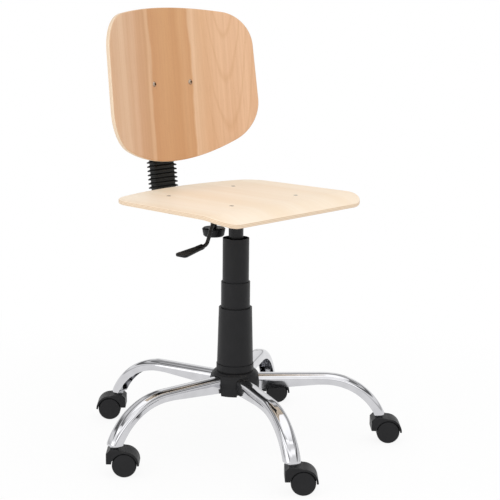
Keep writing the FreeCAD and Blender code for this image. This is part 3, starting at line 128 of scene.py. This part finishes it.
# Strips of the backrest's veneer, by the share of its width from the left as seen from the front
BACK_STRIPS = (
    (0.00, (222, 183, 148)), (0.14, (227, 190, 155)), (0.17, (218, 177, 141)), (0.235, (221, 180, 144)),
    (0.26, (211, 164, 124)), (0.325, (208, 161, 119)), (0.338, (223, 182, 142)), (0.352, (223, 182, 142)),
    (0.366, (205, 151, 103)), (0.46, (211, 160, 111)), (0.55, (205, 152, 103)), (0.59, (214, 165, 118)),
    (0.63, (209, 157, 109)), (0.642, (229, 190, 153)), (0.69, (227, 185, 146)), (0.72, (226, 182, 142)),
    (0.86, (231, 189, 152)), (1.00, (228, 185, 147)))
STRIP_WANDER = 0.018
BACK_BAND_COLOUR = (206, 154, 108)
BACK_MARK_COLOUR = (190, 138, 95)

# Arched grain on the backrest's right strip, which sets in between two shares of the width
ARCH_PLACE = (-0.15, 0, -0.054)
ARCH_STRETCH = (1, 0, 0.12)
ARCHES_PER_METRE = 165.0
ARCH_WANDER = 0.004
ARCH_COLOUR = (205, 156, 112)
ARCH_STRENGTH = 0.36
ARCH_ONSET = (0.70, 0.78)

# Shades of the seat's wide soft bands
SEAT_SHADES = (
    (0.0, (246, 226, 199)), (0.4, (248, 230, 206)), (0.7, (250, 234, 212)), (1.0, (252, 237, 217)))
SEAT_MARK_COLOUR = (228, 193, 154)

# Plated and moulded finishes: noise scales in waves per metre, shade steps and bump heights
CHROME_HAZE = 35.0
CHROME_HAZE_STEP = -10
CHROME_POLISH = 900.0
CHROME_WAVES = 20.0
CHROME_WAVE_HEIGHT = 0.0008
RUBBED_PATCHES = 26.0
RUBBED_STEP = 7

# Camera that took the photograph: angles in degrees, lens and sensor in millimetres
CAMERA_AZIMUTH = -47.36
CAMERA_DISTANCE = 2.79844
CAMERA_HEIGHT = 0.98234
CAMERA_YAW = -0.61
CAMERA_PITCH = -11.23
CAMERA_ROLL = 0.6
CAMERA_LENS = 97.0
SENSOR = 36.0

# Floor, which shows its shadows near the chair and blends into the white backdrop further out
FLOOR_Z = -0.0005
FLOOR_HALF = 20.0
FLOOR_LEVEL = 0.93
FLOOR_ROUGHNESS = 0.9
GLOW_SHARE = (0.9, 1.0)
GLOW_REACH = (0.45, 1.3)

# Lamps, each with its place, its width and height, and its power in watts
LAMP_TARGET = (0, 0, 0.5)
LAMPS = {
    "key": ((-1.6, -2.6, 2.4), (4.0, 3.0), 31),
    "fill": ((-3.0, 0.4, 1.4), (2.6, 2.6), 22),
    "top": ((0.4, -0.4, 3.0), (3.2, 3.2), 20),
}
ROOM_LIGHT = 0.7
# Level that mirrors show, by the sine of the height above the horizon
CEILING = (
    (0.0, 1.0), (0.10, 1.0), (0.14, 0.5), (0.19, 0.65), (0.25, 1.0), (0.36, 1.0), (0.42, 0.14),
    (0.53, 0.18), (0.59, 0.85), (0.64, 0.8), (0.69, 0.2), (0.78, 0.28), (0.86, 0.95), (1.0, 1.0))


# Small helpers

def linear(*colour):
    """A colour given as 0 to 255 screen values, as the shader wants it."""
    def one(value):
        share = value / 255
        return share / 12.92 if share <= 0.04045 else ((share + 0.055) / 1.055) ** 2.4
    return tuple(one(value) for value in colour) + (1.0,)


def grey(level):
    """A grey of a linear level."""
    return (level, level, level, 1.0)


def back_to_world(point):
    """A point of the backrest's own frame (across, backwards, up the board) in the chair's frame."""
    turn = Matrix.Rotation(-BACK_TILT, 3, "X")
    return turn @ Vector(point) + BACK_ORIGIN


def new_object(name, bm, sharp_from=None):
    """An object from a finished mesh, smooth apart from edges sharper than an angle in degrees."""
    mesh = bpy.data.meshes.new(name)
    bmesh.ops.recalc_face_normals(bm, faces=bm.faces)
    bm.to_mesh(mesh)
    bm.free()
    for polygon in mesh.polygons:
        polygon.use_smooth = True
    if sharp_from:
        mesh.set_sharp_from_angle(angle=math.radians(sharp_from))
    piece = bpy.data.objects.new(name, mesh)
    bpy.context.scene.collection.objects.link(piece)
    return piece


def bridge_rings(bm, rings):
    """Faces between successive closed rings of vertices."""
    count = len(rings[0])
    for low, high in zip(rings, rings[1:]):
        for i in range(count):
            j = (i + 1) % count
            bm.faces.new((low[i], low[j], high[j], high[i]))


# Node trees of materials and of the world

class Nodes:
    """A node tree with short ways to add, set and link its nodes."""

    def __init__(self, tree):
        self.nodes = tree.nodes
        self.links = tree.links

    def add(self, kind, **settings):
        node = self.nodes.new(kind)
        for key, value in settings.items():
            setattr(node, key, value)
        return node

    def feed(self, socket, value):
        """Link a socket to another node's output, or set it to a plain value."""
        if isinstance(value, bpy.types.NodeSocket):
            self.links.new(value, socket)
        else:
            socket.default_value = value

    def feed_all(self, node, values):
        for key, value in values.items():
            self.feed(node.inputs[key], value)

    def math(self, operation, first, second=None):
        node = self.add("ShaderNodeMath", operation=operation)
        self.feed(node.inputs[0], first)
        if second is not None:
            self.feed(node.inputs[1], second)
        return node.outputs[0]

    def axis(self, vector, name):
        """One coordinate of a vector."""
        node = self.add("ShaderNodeSeparateXYZ")
        self.feed(node.inputs[0], vector)
        return node.outputs[name]

    def length(self, vector):
        node = self.add("ShaderNodeVectorMath", operation="LENGTH")
        self.feed(node.inputs[0], vector)
        return node.outputs["Value"]

    def moved(self, vector, location=(0, 0, 0), rotation=(0, 0, 0), scale=(1, 1, 1)):
        """A vector scaled, then turned, then shifted."""
        node = self.add("ShaderNodeMapping")
        self.feed_all(node, {"Location": location, "Rotation": rotation, "Scale": scale, "Vector": vector})
        return node.outputs[0]

    def noise(self, vector, scale, detail, roughness=0.5, distortion=0.0):
        node = self.add("ShaderNodeTexNoise")
        self.feed_all(node, {"Vector": vector, "Scale": scale, "Detail": detail, "Roughness": roughness,
                             "Distortion": distortion})
        return node.outputs["Fac"]

    def marks(self, vector, scale, **settings):
        """Noise with its own scale along each axis."""
        return self.noise(self.moved(vector, scale=scale), 1.0, **settings)

    def ramp(self, value, stops):
        node = self.add("ShaderNodeValToRGB")
        elements = node.color_ramp.elements
        while len(elements) < len(stops):
            elements.new(0.5)
        for element, (position, colour) in zip(elements, stops):
            element.position = position
            element.color = colour
        self.feed(node.inputs["Fac"], value)
        return node.outputs["Color"]

    def remap(self, value, low, high, start=0.0, end=1.0, interpolation="LINEAR"):
        """A value remapped from start..end to low..high."""
        node = self.add("ShaderNodeMapRange", interpolation_type=interpolation)
        self.feed_all(node, {"Value": value, "From Min": start, "From Max": end,
                             "To Min": low, "To Max": high})
        return node.outputs["Result"]

    def mix(self, factor, first, second, blend="MIX"):
        """Two colours laid over each other."""
        node = self.add("ShaderNodeMix", data_type="RGBA", blend_type=blend)
        for socket, value in zip((node.inputs[0], node.inputs[6], node.inputs[7]), (factor, first, second)):
            self.feed(socket, value)
        return node.outputs[2]

    def mix_shaders(self, factor, first, second):
        node = self.add("ShaderNodeMixShader")
        for socket, value in zip(node.inputs, (factor, first, second)):
            self.feed(socket, value)
        return node.outputs[0]

    def straight_rays(self):
        """One for rays from the camera, mirrors and glass, and nothing for the rest."""
        path = self.add("ShaderNodeLightPath")
        total = path.outputs["Is Camera Ray"]
        for name in ("Is Glossy Ray", "Is Transmission Ray"):
            total = self.math("MAXIMUM", total, path.outputs[name])
        return total


class Shader(Nodes):
    """A material with its surface shader and its place on the chair at rest."""

    def __init__(self, name):
        self.material = bpy.data.materials.new(name)
        self.material.use_nodes = True
        super().__init__(self.material.node_tree)
        self.surface = self.nodes["Principled BSDF"]
        self.place = self.add("ShaderNodeTexCoord").outputs["Object"]

    def set(self, values):
        self.feed_all(self.surface, values)

    def two_shades(self, noise, first, second):
        """The first shade where a noise is low, fading into the second where it is high."""
        return self.ramp(noise, [(0.35, linear(*first)), (0.75, linear(*second))])

    def bump(self, height, distance, strength):
        node = self.add("ShaderNodeBump")
        self.feed_all(node, {"Distance": distance, "Strength": strength, "Height": height})
        self.set({"Normal": node.outputs["Normal"]})


# Beech plywood

def ply_stripes(shader, depth, thickness):
    """Colour of the edge: cross-laid plies in turn, from the depth below the board's face."""
    count = shader.math("MULTIPLY", depth, PLIES / thickness)
    turn = shader.math("PINGPONG", count, 1.0)
    light = linear(*PLY_LIGHT)
    dark = linear(*PLY_DARK)
    return shader.ramp(turn, [(0.0, light), (0.42, light), (0.58, dark), (1.0, dark)])


def wood(name, grain, depth, thickness, face, mark_colour, contrast, roughness, coat):
    """Lacquered beech veneer: the face's own bands, streaks, fine pores and flecks, and plies on the edge."""
    shader = Shader(name)
    place = grain(shader)
    mark = linear(*mark_colour)
    streaks = shader.marks(place, **STREAKS)
    pores = shader.marks(place, **PORES)
    flecks = shader.marks(place, **FLECKS)
    colour = face(shader, place)
    colour = shader.mix(shader.remap(streaks, 0, contrast, 0.35, 0.75), colour, mark)
    colour = shader.mix(shader.remap(pores, 0, 0.6 * contrast, 0.52, 0.8), colour, mark, "MULTIPLY")
    colour = shader.mix(shader.remap(flecks, 0, 0.8 * contrast, 0.66, 0.74), colour, mark, "MULTIPLY")
    deep = depth(shader)
    under_face = shader.remap(deep, 0, 1, *VENEER_END)
    over_rear = shader.remap(deep, 1, 0, thickness - VENEER_END[1], thickness - VENEER_END[0])
    inside = shader.math("MULTIPLY", under_face, over_rear)
    colour = shader.mix(inside, colour, ply_stripes(shader, deep, thickness))
    shader.set({"Base Color": colour,
                "Roughness": shader.remap(streaks, roughness - 0.04, roughness + 0.06, 0.3, 0.7),
                "Coat Weight": coat, "Coat Roughness": 0.12, "IOR": 1.5})
    shader.bump(shader.math("ADD", pores, flecks), GRAIN_BUMP, 0.5)
    return shader.material


def back_grain(shader):
    """Grain that runs up the backrest."""
    upright = shader.moved(shader.place, location=tuple(-BACK_ORIGIN))
    return shader.moved(upright, rotation=(BACK_TILT, 0, 0))


def back_depth(shader):
    """Depth behind the front face of the bent backrest."""
    from_centre = shader.moved(back_grain(shader), location=(0, BACK_CURVE, 0), scale=(1, 1, 0))
    return shader.math("SUBTRACT", shader.length(from_centre), BACK_CURVE)


def seat_grain(shader):
    """Grain that runs from the front to the rear of the seat."""
    return shader.moved(shader.place, rotation=(math.radians(90), 0, 0), location=SEAT_GRAIN_SHIFT)


def seat_depth(shader):
    """Depth below the seat's upper face, flat behind and rolled down in front."""
    past_start = shader.math("SUBTRACT", shader.axis(shader.place, "Y"), SEAT_ROLL_START)
    forward = shader.math("MINIMUM", past_start, 0.0)
    up = shader.math("SUBTRACT", shader.axis(shader.place, "Z"), SEAT_TOP - SEAT_ROLL_RADIUS)
    squares = [shader.math("MULTIPLY", side, side) for side in (forward, up)]
    return shader.math("SUBTRACT", SEAT_ROLL_RADIUS, shader.math("SQRT", shader.math("ADD", *squares)))


def back_face(shader, place):
    """Backrest veneer: joined strips, the middle one darker, the right one with arched grain."""
    wander = shader.marks(place, **BACK_WANDER)
    across = shader.math("ADD", shader.math("MULTIPLY", shader.axis(place, "X"), 1 / BACK_WIDTH), 0.5)
    across = shader.math("ADD", across, shader.remap(wander, -STRIP_WANDER, STRIP_WANDER, 0.25, 0.75))
    colour = shader.ramp(across, [(share, linear(*shade)) for share, shade in BACK_STRIPS])
    reach = shader.length(shader.moved(place, location=ARCH_PLACE, scale=ARCH_STRETCH))
    reach = shader.math("ADD", reach, shader.remap(wander, -ARCH_WANDER, ARCH_WANDER))
    arches = shader.math("PINGPONG", shader.math("MULTIPLY", reach, ARCHES_PER_METRE), 1.0)
    lines = shader.remap(arches, 0, ARCH_STRENGTH, 0.7, 1.0)
    lines = shader.math("MULTIPLY", lines, shader.remap(across, 0, 1, *ARCH_ONSET))
    colour = shader.mix(lines, colour, linear(*ARCH_COLOUR))
    bands = shader.remap(shader.marks(place, **BACK_BANDS), 0, 0.3, 0.45, 0.75)
    return shader.mix(bands, colour, linear(*BACK_BAND_COLOUR))


def seat_face(shader, place):
    """Seat veneer: pale, with soft wide bands."""
    bands = shader.remap(shader.marks(place, **SEAT_BANDS), 0, 1, 0.28, 0.72)
    return shader.ramp(bands, [(level, linear(*shade)) for level, shade in SEAT_SHADES])


def beech_back():
    return wood("beech_back", back_grain, back_depth, BACK_THICKNESS, back_face, BACK_MARK_COLOUR,
                contrast=0.3, roughness=0.44, coat=0.1)


def beech_seat():
    return wood("beech_seat", seat_grain, seat_depth, SEAT_THICKNESS, seat_face, SEAT_MARK_COLOUR,
                contrast=0.12, roughness=0.52, coat=0.03)


# Metal and plastic

def chrome(name, shade, roughness):
    """Plated steel: a slightly wavy mirror, hazed here and there by fine polishing marks."""
    shader = Shader(name)
    haze = shader.noise(shader.place, CHROME_HAZE, 2.0)
    hazed = [value + CHROME_HAZE_STEP for value in shade]
    polish = shader.noise(shader.place, CHROME_POLISH, 2.0)
    shader.set({"Base Color": shader.two_shades(haze, shade, hazed),
                "Roughness": shader.remap(polish, roughness * 0.7, roughness * 1.4, 0.35, 0.7),
                "Metallic": 1.0})
    shader.bump(shader.noise(shader.place, CHROME_WAVES, 0.0), CHROME_WAVE_HEIGHT, 0.3)
    return shader.material


def moulded(name, shade, roughness, grain, depth, shine):
    """Black plastic, rubber or powder coat: an even shade, a fine grain and faint rubbed patches."""
    shader = Shader(name)
    patches = shader.noise(shader.place, RUBBED_PATCHES, 4.0, 0.6)
    rubbed = [value + RUBBED_STEP for value in shade]
    shader.set({"Base Color": shader.two_shades(patches, shade, rubbed),
                "Roughness": shader.remap(patches, roughness - 0.05, roughness + 0.07, 0.3, 0.7),
                "IOR": 1.5, "Specular IOR Level": shine})
    shader.bump(shader.noise(shader.place, grain, 2.0, 0.55), depth, 0.6)
    return shader.material


MATERIALS = {
    "beech_back": beech_back(),
    "beech_seat": beech_seat(),
    "chrome": chrome("chrome", (209, 209, 212), 0.06),
    # The back bolts' warm, darker shade is a painted reflection of the wood around them; plated steel itself
    # would be a cool light grey
    "bolt_chrome": chrome("bolt_chrome", (168, 150, 133), 0.05),
    "bolt_grey": chrome("bolt_grey", (150, 144, 136), 0.28),
    "steel_bright": chrome("steel_bright", (176, 177, 180), 0.28),
    "steel_black": moulded("steel_black", (16, 16, 17), 0.28, grain=1500.0, depth=0.00003, shine=0.3),
    "plastic_black": moulded("plastic_black", (19, 19, 21), 0.44, grain=2200.0, depth=0.00003, shine=0.26),
    "rubber_black": moulded("rubber_black", (14, 15, 13), 0.42, grain=1400.0, depth=0.00003, shine=0.3),
}


def dress_nodes():
    """Give every model node the finish of its slot."""
    for entry in frame["record"]["subparts"]:
        node = frame["nodes"][entry["node"]]
        node.data.materials.clear()
        node.data.materials.append(MATERIALS[entry["material_slot"]])


def finish_piece(piece, slot, node):
    """Give a new piece its finish, and let it stand for a model node."""
    piece.data.materials.append(MATERIALS[slot])
    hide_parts(node)


# Bellows on the upright of the back bar

def rounded_outline(half_x, half_y, corner):
    """Points round a rectangle with round corners."""
    points = []
    for quarter, (sign_x, sign_y) in enumerate(((1, 1), (-1, 1), (-1, -1), (1, -1))):
        for step in range(CORNER_STEPS + 1):
            angle = math.pi / 2 * (quarter + step / CORNER_STEPS)
            points.append((sign_x * (half_x - corner) + corner * math.cos(angle),
                           sign_y * (half_y - corner) + corner * math.sin(angle)))
    return points


def fold_inset(share):
    """How far the wall stands in from the tips, by the share of a fold's height: blunt fins, wide valleys."""
    away = abs(share % 1 - 0.5)
    slope = min(max((away - FIN_TIP) / (FIN_ROOT - FIN_TIP), 0), 1)
    return BELLOWS_FOLD * slope * slope * (3 - 2 * slope)


def bellows_ring(bm, height, inset):
    """A ring of vertices round the back bar, set in from the tips of the fins."""
    outline = rounded_outline(BELLOWS_HALF_WIDTH - inset, BELLOWS_HALF_DEPTH - inset,
                              BELLOWS_CORNER - CORNER_SHRINK * inset)
    return [bm.verts.new(back_to_world((x, y + BAR_STAND_OFF, height))) for x, y in outline]


def make_bellows():
    """A folded rubber sleeve that stretches between the back bar and the backrest."""
    bm = bmesh.new()
    first = BELLOWS_LOW + BELLOWS_COLLAR
    last = BELLOWS_HIGH - BELLOWS_COLLAR
    pitch = (last - first) / BELLOWS_FOLDS
    rings = [bellows_ring(bm, BELLOWS_LOW, BELLOWS_LINING),
             bellows_ring(bm, BELLOWS_LOW, BELLOWS_FOLD + BELLOWS_CHAMFER),
             bellows_ring(bm, BELLOWS_LOW + BELLOWS_CHAMFER, BELLOWS_FOLD)]
    for step in range(BELLOWS_FOLDS * RINGS_PER_FOLD + 1):
        share = step / RINGS_PER_FOLD
        inset = fold_inset(share)
        droop = FIN_DROOP * (1 - inset / BELLOWS_FOLD)
        rings.append(bellows_ring(bm, first + share * pitch - droop, inset))
    rings.append(bellows_ring(bm, BELLOWS_HIGH - BELLOWS_CHAMFER, BELLOWS_FOLD))
    rings.append(bellows_ring(bm, BELLOWS_HIGH, BELLOWS_FOLD + BELLOWS_CHAMFER))
    rings.append(bellows_ring(bm, BELLOWS_HIGH, BELLOWS_LINING))
    bridge_rings(bm, rings + rings[:1])
    piece = new_object("bellows_sleeve", bm)
    finish_piece(piece, "rubber_black", "bellows")
    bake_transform(piece)


# Bolts through the backrest and the seat, with key sockets and six-sided nuts

def circle(radius):
    return lambda angle: radius


def hexagon(apothem):
    return lambda angle: apothem / math.cos(angle % (math.pi / 3) - math.pi / 6)


def bolt_solid(bm, place, rings):
    """A closed solid through rings round one axis, each an outline and a depth, capped at both ends."""
    loops = []
    for outline, depth in rings:
        loop = []
        for step in range(BOLT_STEPS):
            angle = 2 * math.pi * step / BOLT_STEPS
            reach = outline(angle)
            loop.append(bm.verts.new(place((reach * math.cos(angle), depth, reach * math.sin(angle)))))
        loops.append(loop)
    bridge_rings(bm, loops)
    bm.faces.new(loops[0])
    bm.faces.new(loops[-1])


def shank_and_nut(under_head, nut_seat):
    """Rings from under a bolt's head to the far face of its nut."""
    nut_end = nut_seat + NUT_THICKNESS
    return [(circle(BOLT_RADIUS), under_head), (circle(BOLT_RADIUS), nut_seat), (circle(NUT_FACE), nut_seat),
            (hexagon(NUT_APOTHEM), nut_seat + NUT_CHAMFER), (hexagon(NUT_APOTHEM), nut_end - NUT_CHAMFER),
            (circle(NUT_FACE), nut_end)]


def back_bolt_place(side):
    """Place a point given from a back bolt's own axis, which stands square to the bent board."""
    swing = math.asin(BACK_BOLT_X / BACK_CURVE)
    turn = Matrix.Rotation(-side * swing, 3, "Z")
    pivot = Vector((0, -BACK_CURVE, 0))
    return lambda point: back_to_world(turn @ (Vector(point) - pivot) + pivot)


def seat_bolt_place(x, y):
    """Place a point given from a seat bolt's own axis, which stands upright."""
    top = Vector((x, y, SEAT_TOP))
    return lambda point: top + Vector((point[0], point[2], -point[1]))


def make_back_bolts():
    """Two domed bolts with their nuts behind the bracket."""
    ball = (BACK_HEAD_RADIUS ** 2 + BACK_HEAD_HEIGHT ** 2) / (2 * BACK_HEAD_HEIGHT)

    def dome(radius):
        return ball - BACK_HEAD_HEIGHT - math.sqrt(ball ** 2 - radius ** 2)

    rings = [(hexagon(BACK_SOCKET), BACK_SOCKET_FLOOR), (hexagon(BACK_SOCKET), dome(BACK_SOCKET))]
    for step in range(BACK_HEAD_RINGS + 1):
        radius = BACK_SOCKET_RIM + (BACK_HEAD_RADIUS - BACK_SOCKET_RIM) * step / BACK_HEAD_RINGS
        rings.append((circle(radius), dome(radius)))
    rings += shank_and_nut(0.0, BRACKET_BACK)
    bm = bmesh.new()
    for side in (-1, 1):
        bolt_solid(bm, back_bolt_place(side), rings)
    piece = new_object("back_bolt_set", bm, BOLT_SHARP_FROM)
    finish_piece(piece, "bolt_chrome", "back_bolts")
    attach(piece, "backrest")


def make_seat_bolts():
    """Four flat bolts, level with the seat, with their nuts below the plate."""
    rings = [(hexagon(SEAT_SOCKET), SEAT_SOCKET_FLOOR), (hexagon(SEAT_SOCKET), SEAT_SOCKET_MOUTH),
             (circle(SEAT_SOCKET_RIM), SEAT_HEAD_SINK),
             (circle(SEAT_HEAD_RADIUS - SEAT_HEAD_CHAMFER), SEAT_HEAD_SINK),
             (circle(SEAT_HEAD_RADIUS), SEAT_HEAD_CHAMFER), (circle(SEAT_HEAD_RADIUS), SEAT_HEAD_DEPTH)]
    rings += shank_and_nut(SEAT_HEAD_DEPTH, PLATE_UNDER)
    bm = bmesh.new()
    for x in (-SEAT_BOLT_X, SEAT_BOLT_X):
        for y in SEAT_BOLT_Y:
            bolt_solid(bm, seat_bolt_place(x, y), rings)
    piece = new_object("seat_bolt_set", bm, BOLT_SHARP_FROM)
    finish_piece(piece, "bolt_grey", "seat_bolts")
    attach(piece, "seat")


# Floor, light and camera

def floor_material():
    """A pale floor that shows white, with the chair's soft shadow on it near the chair."""
    shader = Shader("floor")
    shader.set({"Base Color": grey(FLOOR_LEVEL), "Roughness": FLOOR_ROUGHNESS})
    share = shader.remap(shader.length(shader.place), *GLOW_SHARE, *GLOW_REACH, "SMOOTHSTEP")
    glow = shader.add("ShaderNodeEmission")
    shader.feed(glow.inputs["Color"], grey(1.0))
    seen = shader.math("MULTIPLY", shader.straight_rays(), share)
    mixed = shader.mix_shaders(seen, shader.surface.outputs[0], glow.outputs[0])
    shader.feed(shader.nodes["Material Output"].inputs["Surface"], mixed)
    return shader.material


def make_floor():
    bm = bmesh.new()
    corners = ((-FLOOR_HALF, -FLOOR_HALF), (FLOOR_HALF, -FLOOR_HALF), (FLOOR_HALF, FLOOR_HALF),
               (-FLOOR_HALF, FLOOR_HALF))
    bm.faces.new([bm.verts.new((x, y, FLOOR_Z)) for x, y in corners])
    floor = new_object("floor", bm)
    floor.data.materials.append(floor_material())


def make_world():
    """A white backdrop for the camera, a ceiling with dark bands for the chrome, and soft grey light."""
    world = bpy.data.worlds.new("studio")
    bpy.context.scene.world = world
    world.use_nodes = True
    sky = Nodes(world.node_tree)
    room = sky.nodes["Background"]
    sky.feed_all(room, {"Color": grey(1.0), "Strength": ROOM_LIGHT})
    direction = sky.add("ShaderNodeTexCoord").outputs["Generated"]
    ceiling = sky.ramp(sky.axis(direction, "Z"), [(height, grey(level)) for height, level in CEILING])
    camera_ray = sky.add("ShaderNodeLightPath").outputs["Is Camera Ray"]
    backdrop = sky.add("ShaderNodeBackground")
    sky.feed(backdrop.inputs["Color"], sky.math("MAXIMUM", ceiling, camera_ray))
    mixed = sky.mix_shaders(sky.straight_rays(), room.outputs[0], backdrop.outputs[0])
    sky.feed(sky.nodes["World Output"].inputs["Surface"], mixed)


def make_lamps():
    """Large soft lamps, all turned to the middle of the chair."""
    for name, (place, size, power) in LAMPS.items():
        light = bpy.data.lights.new(name, "AREA")
        light.shape = "RECTANGLE"
        light.size, light.size_y = size
        light.energy = power
        lamp = bpy.data.objects.new(name, light)
        lamp.location = place
        lamp.rotation_euler = (Vector(LAMP_TARGET) - Vector(place)).to_track_quat("-Z", "Y").to_euler()
        bpy.context.scene.collection.objects.link(lamp)


def make_camera():
    """The camera at the photograph's place, a little turned from the chair's axis and rolled."""
    azimuth = math.radians(CAMERA_AZIMUTH)
    heading = azimuth + math.radians(CAMERA_YAW)
    pitch = math.radians(CAMERA_PITCH)
    forward = Vector((-math.sin(heading) * math.cos(pitch), math.cos(heading) * math.cos(pitch),
                      math.sin(pitch)))
    roll = Matrix.Rotation(math.radians(-CAMERA_ROLL), 3, forward)
    right = roll @ forward.cross(Vector((0, 0, 1))).normalized()
    up = right.cross(forward)
    turned = Matrix((right, up, -forward)).transposed().to_4x4()
    place = Vector((math.sin(azimuth) * CAMERA_DISTANCE, -math.cos(azimuth) * CAMERA_DISTANCE, CAMERA_HEIGHT))
    data = bpy.data.cameras.new("camera")
    data.lens = CAMERA_LENS
    data.sensor_width = SENSOR
    camera = bpy.data.objects.new("camera", data)
    camera.matrix_world = Matrix.Translation(place) @ turned
    bpy.context.scene.collection.objects.link(camera)
    bpy.context.scene.camera = camera


dress_nodes()
make_bellows()
make_back_bolts()
make_seat_bolts()
make_floor()
make_world()
make_lamps()
make_camera()
bpy.context.scene.view_settings.view_transform = "Standard"
